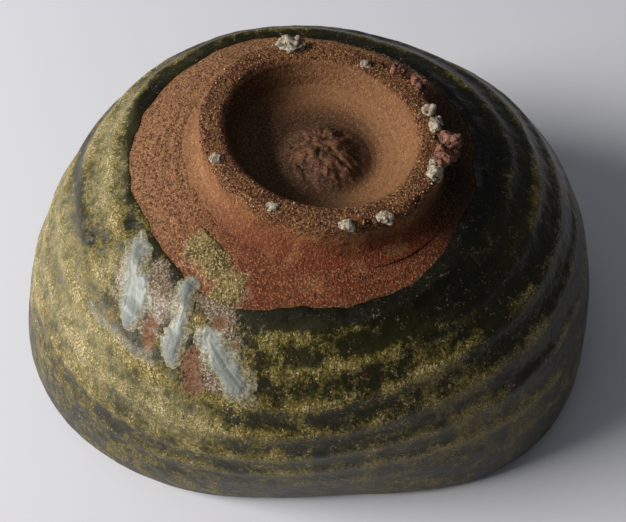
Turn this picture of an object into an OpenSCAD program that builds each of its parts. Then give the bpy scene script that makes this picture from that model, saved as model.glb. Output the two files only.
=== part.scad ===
// Hand-thrown matcha bowl, shown as it rests upside down on its lip: +Z runs from the lip to the foot.
// Clay body, foot ring, glaze coats, ash runs and kiln grit are separate solids that meet face to face.

/* [Bowl wall] */
// Outside radius of the clay wall, averaged round the bowl
bowl_r = 61.5; // [51:0.5:75]
// Height of the wall's curve, from the lip plane to its virtual top
dome_h = 53.6; // [44.5:0.1:64.5]
// Squareness of the wall's curve: 2 is an ellipse, higher is boxier
curve_n = 3.3; // [2.6:0.1:4.2]
// Thickness of the clay wall
wall_t = 4.5; // [3:0.1:6.5]
// Thickness of clay between the tea floor and the foot's hollow
floor_t = 7; // [4.5:0.1:9]
// How far the lip leans inwards
lip_lean = 1.2; // [0:0.1:3]
// Height over which the lip leans
lip_lean_h = 14; // [6:1:24]
// Depth of the throwing ridges
ridge_d = 0.35; // [0:0.05:0.6]

/* [Out of round] */
// Waves of the lip, each as lobes, share of the radius and direction
lip_waves = [[2, 0.109, 6], [3, 0.044, 86], [5, 0.012, 36]];
// Waves of the shoulder, in the same form
shoulder_waves = [[3, 0.036, 13]];
// How far the foot sits off the middle of the lip, along X and Y
foot_drift = [0.6, 5.9];

/* [Foot] */
// Outside radius of the foot ring at its face
foot_r = 25.8; // [21.5:0.1:31]
// Width of the foot ring's face, from outer to inner edge
foot_face_w = 5.1; // [3.5:0.1:6.5]
// Height of the foot ring above its seat on the body
foot_h = 9; // [7.5:0.1:11]
// Depth of the foot's hollow below its face
hollow_d = 7; // [4.5:0.1:8]
// How far the ring spreads outwards at its base
foot_spread = 1.1; // [0.8:0.1:2.5]
// How far the ring's inner wall slopes inwards
inner_slope = 4.6; // [2:0.1:7]
// Rounding of the ring's face edges
foot_round = 0.8; // [0.3:0.1:1.2]
// Radius of the cove at the ring's base
cove_r = 1.4; // [0.5:0.1:2]
// Ovalness of the foot, as a share of its radius, longest along the line from -X +Y to +X -Y
foot_oval = 0.057; // [0:0.01:0.08]
// Flat clay left round the ring's base
seat_ledge = 0.6; // [0.3:0.1:1.5]
// Radius of the rough nub in the hollow
nub_r = 8.8; // [5:0.1:10]
// Height of the nub above the hollow's floor
nub_h = 2.5; // [0.5:0.1:4]
// Depth of the groove round the nub
groove_d = 0.8; // [0.2:0.1:1.5]

/* [Glaze] */
// Thickness of the outside glaze
glaze_t = 1; // [0.6:0.1:1.4]
// Thickness of the rolled edge where the outside glaze stopped
roll_t = 1.9; // [1.2:0.1:2.4]
// Thickness of the inside glaze
inner_glaze_t = 0.8; // [0.5:0.1:1.2]
// Width of bare clay between the foot's seat and the glaze, every 30 degrees from +X towards +Y
bare_w = [2.2, 3.5, 6.5, 10, 11.8, 11.2, 12.2, 10.1, 9.6, 7, 7.8, 4.3];
// Thickness of the pale ash runs
run_t = 0.6; // [0.3:0.1:1]
// Thickness of the sandy ash patch on the bare clay
patch_t = 0.4; // [0.2:0.1:0.8]

/* [Hidden] */
// Directions round the bowl, one every 5 degrees
segs = 72;
step = 360 / segs;
thetas = [for (i = [0:segs - 1]) i * step];

// Foot levels and the flat seat that the foot ring stands on
foot_base_r = foot_r + foot_spread;
shoulder_swing = shoulder_waves[0][1];
seat_r = foot_base_r * (1 + foot_oval) / (1 - shoulder_swing) + seat_ledge;
seat_z = dome_h * pow(1 - pow(seat_r / bowl_r, curve_n), 1 / curve_n);
foot_z = seat_z + foot_h;
hollow_z = foot_z - hollow_d;
hollow_top_r = foot_r - foot_face_w;
hollow_r = hollow_top_r - inner_slope;

// Height of the tea floor, which faces down here
cave_h = hollow_z - floor_t;

// The wall's curve at angle a above the lip plane, as [radius, height]
function dome(a, r, h) =
  let (rho = pow(pow(cos(a) / r, curve_n) + pow(sin(a) / h, curve_n), -1 / curve_n))
  [rho * cos(a), rho * sin(a)];
function dome_normal(a, r, h) =
  let (n = [pow(cos(a), curve_n - 1) / pow(r, curve_n), pow(sin(a), curve_n - 1) / pow(h, curve_n)])
  n / norm(n);
function lean(z) = lip_lean * pow(max(0, 1 - z / lip_lean_h), 2);
function lip_rounding(z) =
  let (rad = wall_t / 2)
  z >= rad ? 0 : rad * (1 - sqrt(1 - pow(1 - z / rad, 2)));

// Clay surfaces of the wall, moved along their normal by t
function outside(a, t) =
  let (p = dome(a, bowl_r, dome_h))
  [p[0] - lean(p[1]) - lip_rounding(p[1]), p[1]] + t * dome_normal(a, bowl_r, dome_h);
function inside(a, t) =
  let (r = bowl_r - wall_t, p = dome(a, r, cave_h))
  [p[0] - lean(p[1]) + lip_rounding(p[1]), p[1]] - t * dome_normal(a, r, cave_h);

// From [radius, height] in direction th to a point of the leaning, out-of-round bowl
function sum(v, i = 0) = i == len(v) ? 0 : v[i] + sum(v, i + 1);
function swing(waves, th) = sum([for (w = waves) w[1] * cos(w[0] * (th - w[2]))]);
function free_place(th, p) =
  let (u = p[1] / dome_h, k = 1 + (1 - u) * swing(lip_waves, th) + u * swing(shoulder_waves, th))
  [p[0] * k * cos(th) + u * foot_drift[0], p[0] * k * sin(th) + u * foot_drift[1], p[1]];

// The glaze edge in direction th, as an angle above the lip plane
function smooth(x) = x * x * (3 - 2 * x);
function bare_at(th) =
  let (n = len(bare_w), x = th / 360 * n, i = floor(x), f = smooth(x - i))
  bare_w[i % n] * (1 - f) + bare_w[(i + 1) % n] * f;
function angle_at(r) = atan2(dome_h * pow(1 - pow(r / bowl_r, curve_n), 1 / curve_n), r);
edge_angles = [for (th = thetas) angle_at(seat_r + bare_at(th))];
seat_angle = angle_at(seat_r);

// Rings of the outside: level ones up to the last throwing ridge, then ones that follow the glaze edge
roll_angle = 4;
level_top = min(edge_angles) - roll_angle;
level_share = [0, 0.014, 0.045, 0.11, 0.2, 0.3, 0.4, 0.5, 0.6, 0.7, 0.8, 0.9, 1];
edge_share = [0.3, 0.6, 0.82, 0.95, 1];
bare_share = [0.33, 0.67, 1];
first_ridge = 5;
levels = len(level_share);
edge_ring = levels + len(edge_share) - 1;
outer_rings = edge_ring + len(bare_share);
function mix(a, b, f) = a + (b - a) * f;
function ring_angle(j, i) =
  j < levels ? level_top * level_share[j]
  : j <= edge_ring ? mix(level_top, edge_angles[i], edge_share[j - levels])
  : mix(edge_angles[i], seat_angle, bare_share[j - edge_ring - 1]);
function ridge(j) = j < first_ridge || j >= levels ? 0 : ridge_d * (j % 2 == 0 ? 1 : -1);
lip_coat = [0, 0.35 * glaze_t, 0.7 * glaze_t];
edge_coat = [roll_t, 0.8 * roll_t];
function coat_t(j) =
  j < len(lip_coat) ? lip_coat[j]
  : j >= edge_ring ? 0
  : j >= edge_ring - len(edge_coat) ? edge_coat[j - edge_ring + len(edge_coat)]
  : glaze_t;
function wall_point(j, i, t) = outside(ring_angle(j, i), ridge(j) + t);

// The outline is centred on the origin
raw_outline = [
  for (j = [0:edge_ring], i = [0:segs - 1])
    free_place(thetas[i], wall_point(j, i, coat_t(j)))
];
xs = [for (p = raw_outline) p[0]];
ys = [for (p = raw_outline) p[1]];
middle = [(max(xs) + min(xs)) / 2, (max(ys) + min(ys)) / 2, 0];
foot_axis = [foot_drift[0], foot_drift[1], 0] - middle;
function place(th, p) = free_place(th, p) - middle;
function foot_place(th, r, z) =
  foot_axis + [r * (cos(th) - foot_oval * sin(th)), r * (sin(th) - foot_oval * cos(th)), z];

// Surfaces of the body as rings of points: clay outside, glaze outside, and clay and glaze inside
function outer_ring(j, t) = [for (i = [0:segs - 1]) place(thetas[i], wall_point(j, i, t))];
clay_rings = [for (j = [0:outer_rings]) outer_ring(j, 0)];
glaze_rings = [for (j = [0:edge_ring]) outer_ring(j, coat_t(j))];
cave_angles = [0, 0.7, 2.2, 6, 12, 18, 24, 30, 36, 42, 48, 54, 61, 69, 79];
function cave_ring(a, t) = [for (th = thetas) place(th, inside(a, t))];
function cave_top(t) = foot_axis + [0, 0, cave_h - t];

// The underside of the foot: [radius, height above the hollow's floor]; the nub's own steps are out of round
floor_steps = 3;
nub_wobble = 0.06;
nub_turn = 20;
hollow_steps = [
  [hollow_r, 0], [mix(nub_r, hollow_r, 0.65), -groove_d * 0.5], [mix(nub_r, hollow_r, 0.25), -groove_d],
  [nub_r, 0.1 * nub_h], [nub_r * 0.7, 0.65 * nub_h], [nub_r * 0.35, 0.92 * nub_h]
];
function hollow_ring(s, wobble) =
  [for (th = thetas) foot_place(th, s[0] * (1 + wobble * cos(3 * th + nub_turn)), hollow_z + s[1])];
hollow_rings = [
  for (k = [0:len(hollow_steps) - 1])
    hollow_ring(hollow_steps[k], k < floor_steps ? 0 : nub_wobble)
];

// Triangles between n rings of m points each; last_cut picks the quads' other diagonal
function band(a, b, m, last_cut) =
  [for (i = [0:m - 1])
    let (k = (i + 1) % m)
    each last_cut
      ? [[a + i, a + k, b + i], [a + k, b + k, b + i]]
      : [[a + i, a + k, b + k], [a + i, b + k, b + i]]];
function bands(n, m, last_cut) = [for (r = [0:n - 2]) each band(r * m, (r + 1) * m, m, last_cut)];
function first_fan(centre, m) = [for (i = [0:m - 1]) [centre, (i + 1) % m, i]];
function last_fan(centre, base, m) = [for (i = [0:m - 1]) [base + i, base + (i + 1) % m, centre]];
function flat(rings) = [for (ring = rings) each ring];
function reversed(v) = [for (i = [len(v) - 1:-1:0]) v[i]];

// A closed solid from rings in order round its section, from one pole to the other
module capped_solid(rings, first, last, last_cut) {
  n = len(rings);
  m = len(rings[0]);
  polyhedron(
    points = concat(flat(rings), [first, last]),
    faces = concat(first_fan(n * m, m), bands(n, m, last_cut), last_fan(n * m + 1, (n - 1) * m, m))
  );
}

// A closed solid from rings in order round a section that has no pole
module looped_solid(rings, last_cut) {
  n = len(rings);
  m = len(rings[0]);
  polyhedron(points = flat(rings), faces = concat(bands(n, m, last_cut), band((n - 1) * m, 0, m, last_cut)));
}

module clay_body() {
  seat_inner = [for (th = thetas) foot_place(th, hollow_r, seat_z)];
  cave = [for (k = [1:len(cave_angles) - 1]) cave_ring(cave_angles[k], 0)];
  rings = concat(reversed(hollow_rings), [seat_inner], reversed(clay_rings), cave);
  nub_top = foot_place(0, 0, hollow_z + nub_h);
  color([0.50, 0.27, 0.18]) capped_solid(rings, nub_top, cave_top(0), false);
}

module outer_glaze() {
  wall = reversed(glaze_rings);
  backing = [for (j = [1:edge_ring - 1]) clay_rings[j]];
  color([0.34, 0.32, 0.12]) looped_solid(concat(wall, backing), true);
}

module inner_glaze() {
  last = len(cave_angles) - 1;
  backing = [for (k = [last:-1:1]) cave_ring(cave_angles[k], 0)];
  lip_share = [0, 0.4, 0.8];
  share = function (k) k < len(lip_share) ? lip_share[k] : 1;
  skin = [for (k = [1:last]) cave_ring(cave_angles[k], inner_glaze_t * share(k))];
  rings = concat(backing, [clay_rings[0]], skin);
  color([0.42, 0.44, 0.22]) capped_solid(rings, cave_top(0), cave_top(inner_glaze_t), true);
}

// Foot ring's section, as [radius, height above the seat], with room for flat cuts at the seat and the face
cut_room = 1;
toe_h = 0.4;
toe_reach = 0.2;
waist_share = 0.55;
waist_out = 0.1;
function arc(x, y, r, from, to) =
  [for (k = [0:3]) let (a = mix(from, to, k / 3)) [x + r * cos(a), y + r * sin(a)]];
ring_section = concat(
  [[hollow_r, -cut_room], [foot_base_r, -cut_room], [foot_base_r, toe_h]],
  arc(foot_base_r + toe_reach, toe_h + cove_r, cove_r, 258, 192),
  [[foot_r + waist_out, foot_h * waist_share]],
  arc(foot_r - foot_round, foot_h - foot_round, foot_round, 0, 90),
  [[foot_r - foot_round, foot_h + cut_room], [hollow_top_r + foot_round, foot_h + cut_room]],
  arc(hollow_top_r + foot_round, foot_h - foot_round, foot_round, 90, 155),
  [[hollow_r, foot_h - hollow_d]]
);

module foot_ring_blank() {
  oval = [[1, -foot_oval, 0, 0], [-foot_oval, 1, 0, 0], [0, 0, 1, 0], [0, 0, 0, 1]];
  reach = 2 * foot_base_r;
  translate(foot_axis + [0, 0, seat_z])
    intersection() {
      multmatrix(oval) rotate_extrude($fn = 96) polygon(ring_section);
      translate([-reach, -reach, 0]) cube([2 * reach, 2 * reach, foot_h]);
    }
}

// Kiln grit: name, direction, distance out from the ring's outer edge, depth of its widest level below
// the face, [length round the ring, width, height above and below that level], and number of its shape
grit = [
  ["kiln_grit_back", 103, -1.9, 0.2, [4.8, 3.8, 2.0, 2.2], 1],
  ["kiln_grit_inner", 62, -3.4, 0.2, [2.2, 1.8, 0.9, 1.2], 2],
  ["kiln_grit_purple", 47, -0.1, 0.3, [3.0, 2.6, 1.5, 1.8], 3],
  ["kiln_grit_pink", 35, 0.6, 0.4, [3.8, 2.2, 1.6, 2.0], 4],
  ["kiln_grit_white_upper", 18, -1.5, 0.2, [2.8, 2.4, 1.2, 1.4], 5],
  ["kiln_grit_white_lower", 8, -1.4, 0.2, [3.2, 2.4, 1.4, 1.5], 6],
  ["kiln_grit_knob", 0, 1.5, 1.0, [3.0, 4.4, 1.8, 2.2], 7],
  ["kiln_grit_tip", 354, 1.1, 1.8, [1.9, 3.6, 1.2, 1.4], 8],
  ["kiln_grit_red", 347, -0.8, 0.3, [3.7, 2.8, 1.5, 1.8], 9],
  ["kiln_grit_grey", 338, -1.0, 0.3, [3.8, 3.0, 1.6, 2.0], 10],
  ["kiln_grit_front_right", 299, -0.8, 0.2, [3.2, 1.8, 0.7, 1.2], 11],
  ["kiln_grit_front", 280, -0.5, 0.2, [3.4, 1.7, 0.6, 1.2], 12],
  ["kiln_grit_front_left", 245, -1.7, 0.2, [2.4, 1.9, 0.6, 1.0], 13],
  ["kiln_grit_left", 207, -1.8, 0.2, [2.8, 2.2, 0.7, 1.2], 14]
];

// An angular nugget, widest at its own origin level and narrower above and below it
module nugget(size, shape) {
  sides = 8;
  smallest = 0.84;
  shoulder = 0.9;
  jitter = rands(smallest, 1, sides, shape);
  levels = [[1, 0.42], [0.62, 0.8], [0, 1], [-0.5, 0.9], [-1, 0.5]];
  function corner(l, i) =
    let (a = i * 360 / sides, r = l[1] * jitter[i] / 2, reach = l[0] > 0 ? size[2] : size[3])
    [size[0] * r * cos(a), size[1] * r * sin(a), l[0] * reach * shoulder];
  rings = [for (l = levels) [for (i = [0:sides - 1]) corner(l, i)]];
  capped_solid(rings, [0, 0, size[2]], [0, 0, -size[3]], false);
}

module grit_lump(g) {
  at = foot_place(g[1], foot_r + g[2], foot_z - g[3]);
  color([0.66, 0.60, 0.54]) translate(at) rotate(g[1] + 90) nugget(g[4], g[5]);
}

module foot_ring() {
  color([0.46, 0.28, 0.18])
    difference() {
      foot_ring_blank();
      for (g = grit) grit_lump(g);
    }
}

// A low mound on a grid of rings, from ring j0 to j1 and point i0 to i1, zero thick along its border
module mound(base, top, thick, j0, j1, i0, i1, last_cut) {
  w = i1 - i0 + 1;
  count = (j1 - j0 + 1) * w;
  low = [for (j = [j1:-1:j0], i = [i0:i1]) base(j, i)];
  high = [for (j = [j1:-1:j0], i = [i0:i1]) top(j, i)];
  t = [for (j = [j1:-1:j0], i = [i0:i1]) thick(j, i)];
  tris = [for (r = [0:j1 - j0 - 1], c = [0:w - 2])
    let (a = r * w + c, b = a + w)
    each last_cut
      ? [[a, a + 1, b], [a + 1, b + 1, b]]
      : [[a, a + 1, b + 1], [a, b + 1, b]]];
  used = [for (f = tris) if (t[f[0]] + t[f[1]] + t[f[2]] > 0) f];
  lifted = [for (f = used) [for (v = f) t[v] > 0 ? v + count : v]];
  polyhedron(points = concat(low, high), faces = concat(lifted, [for (f = used) reversed(f)]));
}

// Thickness of a rounded mound centred at direction th and angle a, w and h its half sizes in degrees
function mound_t(j, i, th, a, w, h, t) =
  t * max(0, 1 - pow((thetas[i] - th) / w, 2) - pow((ring_angle(j, i) - a) / h, 2));

// Pale ash runs: name, direction, share of the angle up to the glaze edge, half width and half height
runs = [
  ["ash_run_left", 214, 0.9, 16, 7],
  ["ash_run_middle", 235, 0.9, 4.9, 7],
  ["ash_run_right", 250, 0.85, 9.5, 7]
];

module ash_run(s) {
  mid = s[2] * edge_angles[round(s[1] / step)];
  from = floor((s[1] - s[3]) / step);
  to = ceil((s[1] + s[3]) / step);
  thick = function (j, i) j == edge_ring ? 0 : mound_t(j, i, s[1], mid, s[3], s[4], run_t);
  base = function (j, i) glaze_rings[j][i];
  top = function (j, i) place(thetas[i], wall_point(j, i, coat_t(j) + thick(j, i)));
  color([0.70, 0.74, 0.72]) mound(base, top, thick, first_ridge, edge_ring, from, to, true);
}

// The sandy patch lies on the bare clay below the ring, halfway between seat and glaze
patch_th = 233;
patch_w = 13;
module ash_patch() {
  rise = (seat_angle - edge_angles[round(patch_th / step)]) / 2;
  mid = seat_angle - rise;
  from = floor((patch_th - patch_w) / step);
  to = ceil((patch_th + patch_w) / step);
  mound_here = function (j, i) mound_t(j, i, patch_th, mid, patch_w, rise, patch_t);
  thick = function (j, i) j <= edge_ring || j == outer_rings ? 0 : mound_here(j, i);
  base = function (j, i) clay_rings[j][i];
  top = function (j, i) place(thetas[i], wall_point(j, i, thick(j, i)));
  color([0.60, 0.52, 0.28]) mound(base, top, thick, edge_ring, outer_rings, from, to, false);
}

clay_body();
foot_ring();
outer_glaze();
inner_glaze();
for (s = runs) ash_run(s);
ash_patch();
for (g = grit) grit_lump(g);
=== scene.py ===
"""Looks of a hand-thrown matcha bowl that rests upside down on its lip, foot up.

Lengths of the pottery are in millimetres and angles in degrees until a piece is finished in metres.
Theta is a direction round the bowl, counted from +X towards +Y. Alpha is an angle above the lip plane.
"""
import math

import bmesh
import bpy
import numpy as np
from mathutils import Matrix, Vector, noise


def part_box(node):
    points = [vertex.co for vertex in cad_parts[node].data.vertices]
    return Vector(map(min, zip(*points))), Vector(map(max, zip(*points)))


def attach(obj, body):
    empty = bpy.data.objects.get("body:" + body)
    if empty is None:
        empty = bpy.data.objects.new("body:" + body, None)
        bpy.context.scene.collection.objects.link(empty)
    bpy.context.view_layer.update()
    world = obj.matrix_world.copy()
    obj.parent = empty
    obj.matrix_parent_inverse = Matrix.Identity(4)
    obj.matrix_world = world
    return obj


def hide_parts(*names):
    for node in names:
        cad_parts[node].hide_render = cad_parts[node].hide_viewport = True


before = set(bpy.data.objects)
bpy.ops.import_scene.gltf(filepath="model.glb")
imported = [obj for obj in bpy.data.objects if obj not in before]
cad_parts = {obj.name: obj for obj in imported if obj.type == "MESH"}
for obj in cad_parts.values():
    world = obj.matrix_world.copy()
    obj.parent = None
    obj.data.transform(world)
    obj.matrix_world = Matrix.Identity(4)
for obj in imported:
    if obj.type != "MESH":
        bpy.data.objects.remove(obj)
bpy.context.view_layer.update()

MM = 0.001

# The wall's curve and how far it is out of round
BOWL_R = 61.5
DOME_H = 53.6
CURVE_N = 3.3
WALL_T = 4.5
LIP_LEAN = 1.2
LIP_LEAN_H = 14
LIP_WAVES = ((2, 0.109, 6), (3, 0.044, 86), (5, 0.012, 36))
SHOULDER_WAVES = ((3, 0.036, 13),)
FOOT_DRIFT = (0.6, 5.9)
FOOT_OVAL = 0.057

# The foot, with its levels taken from the frame
FOOT_R = 25.8
FOOT_FACE_W = 5.1
FOOT_BASE_R = 26.9
INNER_SLOPE = 4.6
HOLLOW_D = 7
FLOOR_T = 7
SEAT_LEDGE = 0.6
HOLLOW_FLOOR_R = 17.9
NUB_R = 8.8
NUB_H = 2.5
NUB_ASIDE = np.array([0.8, -2.3, 0])
GROOVE_R = 6
GROOVE_D = 0.8
COVE_R = 13.2
COVE_W = 4.3
COVE_H = 1.3
TOE_H = 0.4
SEAT_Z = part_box("foot_ring")[0].z / MM
FOOT_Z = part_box("foot_ring")[1].z / MM
HOLLOW_Z = FOOT_Z - HOLLOW_D
CAVE_H = HOLLOW_Z - FLOOR_T
FACE_IN_R = FOOT_R - FOOT_FACE_W
HOLLOW_R = FACE_IN_R - INNER_SLOPE
SEAT_R = FOOT_BASE_R * (1 + FOOT_OVAL) / (1 - SHOULDER_WAVES[0][1]) + SEAT_LEDGE

# Rings of vertices of the clay body, from the middle of the hollow out, down the wall and into the bowl
HOLLOW_RINGS = 46
SEAT_RINGS = 3
BARE_RINGS = 56
GLAZED_RINGS = 18
CAVE_RINGS = 16

# Glaze and ash. Widths and depths go by even steps round the bowl from +X towards +Y.
GLAZE_T = 1.0
ROLL_T = 0.3
INNER_GLAZE_T = 0.8
BARE_W = (2.2, 3.5, 6.5, 10, 11.8, 11.2, 12.2, 10.1, 9.6, 7, 7.8, 4.3)
POOL_W = (9, 7, 4, 2.6, 2.4, 2.0, 1.6, 1.6, 2, 4.6, 6.4, 9)
POOL_DEPTH = (1, 1, 0.9, 0.75, 0.6, 0.4, 0.12, 0.12, 0.3, 0.85, 1, 1)
RIDGE_AT = 42.3
RIDGE_EVERY = 6.0
RIDGE_H = 0.55
UNDER_GLAZE = 1.2
STREAK_R = 44
STREAK_PULL = 0.14
RUN_T = 0.42
PATCH_T = 0.35


# ---------------------------------------------------------------- shape of the bowl

def rough(points, size, seed=0):
    """Smooth noise from about -1 to 1 at each point, in lumps as wide as size. A seed picks the pattern."""
    shift = Vector((seed * 17.3, seed * 5.1, seed * 9.7))
    return np.array([noise.noise(Vector(p) / size + shift) for p in points])


def smooth(x):
    x = np.clip(x, 0, 1)
    return x * x * (3 - 2 * x)


def between(x, low, high):
    """0 below low, 1 above high and smooth in between; the other way round if low is above high."""
    return smooth((x - low) / (high - low))


def dome(alpha, r, h):
    """The wall's curve at alpha above the lip plane, as radius and height, with its outward normal."""
    c, s = np.cos(np.radians(alpha)), np.sin(np.radians(alpha))
    rho = ((c / r) ** CURVE_N + (s / h) ** CURVE_N) ** (-1 / CURVE_N)
    n = np.stack([c ** (CURVE_N - 1) / r ** CURVE_N, s ** (CURVE_N - 1) / h ** CURVE_N])
    return rho * c, rho * s, n / np.hypot(*n)


def lip_lean(z):
    return LIP_LEAN * np.clip(1 - z / LIP_LEAN_H, 0, None) ** 2


def lip_rounding(z):
    rad = WALL_T / 2
    return rad * (1 - np.sqrt(1 - np.clip(1 - z / rad, 0, 1) ** 2))


def outside(alpha, t):
    """Radius and height of the outside of the clay wall, moved outwards by t."""
    r, z, n = dome(alpha, BOWL_R, DOME_H)
    return r - lip_lean(z) - lip_rounding(z) + t * n[0], z + t * n[1]


def inside(alpha, t):
    """Radius and height of the inside of the clay wall, moved into the bowl by t."""
    r, z, n = dome(alpha, BOWL_R - WALL_T, CAVE_H)
    return r - lip_lean(z) + lip_rounding(z) - t * n[0], z - t * n[1]


def swing(waves, theta):
    return sum(share * np.cos(lobes * (theta - math.radians(at))) for lobes, share, at in waves)


def drifted(theta, r, z):
    """A point of the leaning, out-of-round bowl."""
    u = z / DOME_H
    k = 1 + (1 - u) * swing(LIP_WAVES, theta) + u * swing(SHOULDER_WAVES, theta)
    x = r * k * np.cos(theta) + u * FOOT_DRIFT[0]
    y = r * k * np.sin(theta) + u * FOOT_DRIFT[1]
    return np.stack([x, y, z + 0 * theta], axis=-1)


def bowl_middle():
    """Middle of the glazed outline, which sits on the frame's origin."""
    theta, alpha = np.meshgrid(np.radians(np.arange(0, 360, 2)), np.arange(1, 40, 1.0))
    outline = drifted(theta.ravel(), *outside(alpha.ravel(), GLAZE_T))
    x, y = (outline.max(0) + outline.min(0))[:2] / 2
    low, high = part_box("outer_glaze")
    drift = (low + high) / 2 / MM
    return np.array([x - drift.x, y - drift.y, 0])


MIDDLE = bowl_middle()
FOOT_AXIS = np.array([*FOOT_DRIFT, 0]) - MIDDLE


def placed(theta, r, z):
    return drifted(theta, r, z) - MIDDLE


def foot_placed(theta, r, z):
    """A point of the oval foot."""
    x = r * (np.cos(theta) - FOOT_OVAL * np.sin(theta))
    y = r * (np.sin(theta) - FOOT_OVAL * np.cos(theta))
    return np.stack([x, y, z + 0 * theta], axis=-1) + FOOT_AXIS


def alpha_at(r):
    """Angle above the lip plane where the wall has radius r, in degrees."""
    return np.degrees(np.arctan2(DOME_H * (1 - (r / BOWL_R) ** CURVE_N) ** (1 / CURVE_N), r))


def edge_wobble(theta):
    """How far the glaze edge strays from its smooth line."""
    circle = np.stack([np.cos(theta), np.sin(theta), 0 * theta], axis=-1) * 40
    return 0.9 * rough(circle, 9, 3) + 0.45 * rough(circle, 3, 4)


def round_the_bowl(widths, theta):
    """The width in each direction, eased from step to step."""
    x = np.degrees(theta) % 360 / 360 * len(widths)
    i = np.floor(x).astype(int)
    f = smooth(x - i)
    widths = np.array(widths)
    return widths[i % len(widths)] * (1 - f) + widths[(i + 1) % len(widths)] * f


def glaze_edge(theta):
    """Alpha of the line where the outside glaze stops."""
    return alpha_at(SEAT_R + round_the_bowl(BARE_W, theta) + edge_wobble(theta))


SEAT_ALPHA = float(alpha_at(SEAT_R))
SHOULDER_R = 46
ALPHAS = np.linspace(0, SEAT_ALPHA, 400)
WALL_R, WALL_Z = dome(ALPHAS, BOWL_R, DOME_H)[:2]
WALL_LENGTHS = np.concatenate([[0], np.cumsum(np.hypot(np.diff(WALL_R), np.diff(WALL_Z)))])


def wall_length(alpha):
    """Length along the wall from the lip plane up to alpha."""
    return np.interp(alpha, ALPHAS, WALL_LENGTHS)


def off_axis(points, aside=0):
    """Distance of each point from the foot's upright axis, or from a line beside it."""
    return np.hypot(*(points - FOOT_AXIS - aside)[:, :2].T)


def spot(theta, alpha, at, half_w, half_h):
    """A soft spot on the wall: 1 at its middle, 0 past its half sizes, all in degrees."""
    across = (np.degrees(theta) - at[0] + 180) % 360 - 180
    return np.clip(1 - (across / half_w) ** 2 - ((alpha - at[1]) / half_h) ** 2, 0, 1)


def off_line(theta, alpha, line):
    """Distance over the wall from a line of (theta, alpha) points, in mm at the shoulder."""
    def flat(at_theta, at_alpha):
        return np.stack([SHOULDER_R * np.radians(at_theta), wall_length(at_alpha)], axis=-1)

    here = flat(np.degrees(theta) % 360, alpha)
    best = np.full(len(here), 1e3)
    for start, end in zip(line, line[1:]):
        a, b = flat(*start), flat(*end)
        share = np.clip((here - a) @ (b - a) / ((b - a) @ (b - a)), 0, 1)
        best = np.minimum(best, np.hypot(*(here - a - share[:, None] * (b - a)).T))
    return best


def ridges(theta, alpha, points):
    """Throwing ridges: 1 on a crest, 0 in the dip, broken up and fading towards the lip."""
    turn = RIDGE_AT + 3 * np.cos(theta - math.radians(350)) + 0.5 * rough(points, 14, 5)
    wave = 0.5 + 0.5 * np.cos(np.radians((alpha - turn) / RIDGE_EVERY * 360))
    return wave ** 1.6 * between(alpha, 8, 26)


# ---------------------------------------------------------------- making pieces

def spun_ball(segments, rings):
    """A closed ball. Gives each vertex's direction and its ring, counted down from the foot's end."""
    bm = bmesh.new()
    bmesh.ops.create_uvsphere(bm, u_segments=segments, v_segments=rings, radius=1)
    co = np.array([v.co[:] for v in bm.verts])
    ring = np.rint(np.arccos(np.clip(co[:, 2], -1, 1)) / math.pi * rings).astype(int)
    return bm, np.arctan2(co[:, 1], co[:, 0]), ring


def spun_tube(segments, rings):
    """A closed ring: a circle of points spun round. Gives each vertex's direction and place in it."""
    bm = bmesh.new()
    bmesh.ops.create_circle(bm, segments=rings, radius=1)
    upright = Matrix.Translation((2, 0, 0)) @ Matrix.Rotation(math.pi / 2, 4, "X")
    bmesh.ops.transform(bm, matrix=upright, verts=bm.verts)
    bmesh.ops.spin(bm, geom=bm.verts[:] + bm.edges[:], axis=(0, 0, 1), cent=(0, 0, 0),
                   angle=2 * math.pi, steps=segments, use_merge=True)
    bmesh.ops.remove_doubles(bm, verts=bm.verts, dist=1e-5)
    co = np.array([v.co[:] for v in bm.verts])
    out = np.hypot(co[:, 0], co[:, 1]) - 2
    ring = np.rint(np.arctan2(co[:, 2], out) / (2 * math.pi) * rings).astype(int) % rings
    return bm, np.arctan2(co[:, 1], co[:, 0]), ring


def finished(bm, name, points, material, nodes, levels=None):
    """Turns a template into a piece: its vertices go to points, in mm, and levels become attributes."""
    for v, p in zip(bm.verts, points * MM):
        v.co = p
    bmesh.ops.recalc_face_normals(bm, faces=bm.faces)
    for face in bm.faces:
        face.smooth = True
    mesh = bpy.data.meshes.new(name)
    bm.to_mesh(mesh)
    bm.free()
    for key, values in (levels or {}).items():
        is_place = np.ndim(values) == 2
        layer = mesh.attributes.new(key, "FLOAT_VECTOR" if is_place else "FLOAT", "POINT")
        numbers = np.ravel(values).astype(np.float32)
        layer.data.foreach_set("vector" if is_place else "value", numbers)
    mesh.materials.append(material)
    piece = bpy.data.objects.new(name, mesh)
    bpy.context.scene.collection.objects.link(piece)
    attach(piece, "root")
    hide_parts(*nodes)
    return piece


def flow(theta, alpha):
    """A place on the wall for streaks that run down it: long down the wall and short across."""
    down = STREAK_PULL * wall_length(alpha)
    return np.stack([STREAK_R * np.cos(theta), STREAK_R * np.sin(theta), down], axis=-1)


def fired_colour_and_shade(theta, share):
    """For each direction round the bowl: painted shade for the side of the foot's hollow that lies in
    shadow and, times share, how rosy or rust red the clay is and how near black it is made on the +X side
    beside the foot.
    """
    def near(direction, low, high):
        return between(np.cos(theta - math.radians(direction)), low, high)

    return {
        # Painted shade: the hollow's walls on this side face away from the window light.
        "shaded_side": near(205, -0.5, 0.75),
        "rosy": share * near(185, -0.2, 0.9),
        "red": share * near(290, 0.0, 0.9),
        # The clay on the +X side beside the foot is made near black.
        "dark_plus_x_side": share * near(8, 0.55, 0.92),
    }


# ---------------------------------------------------------------- clay body

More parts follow.
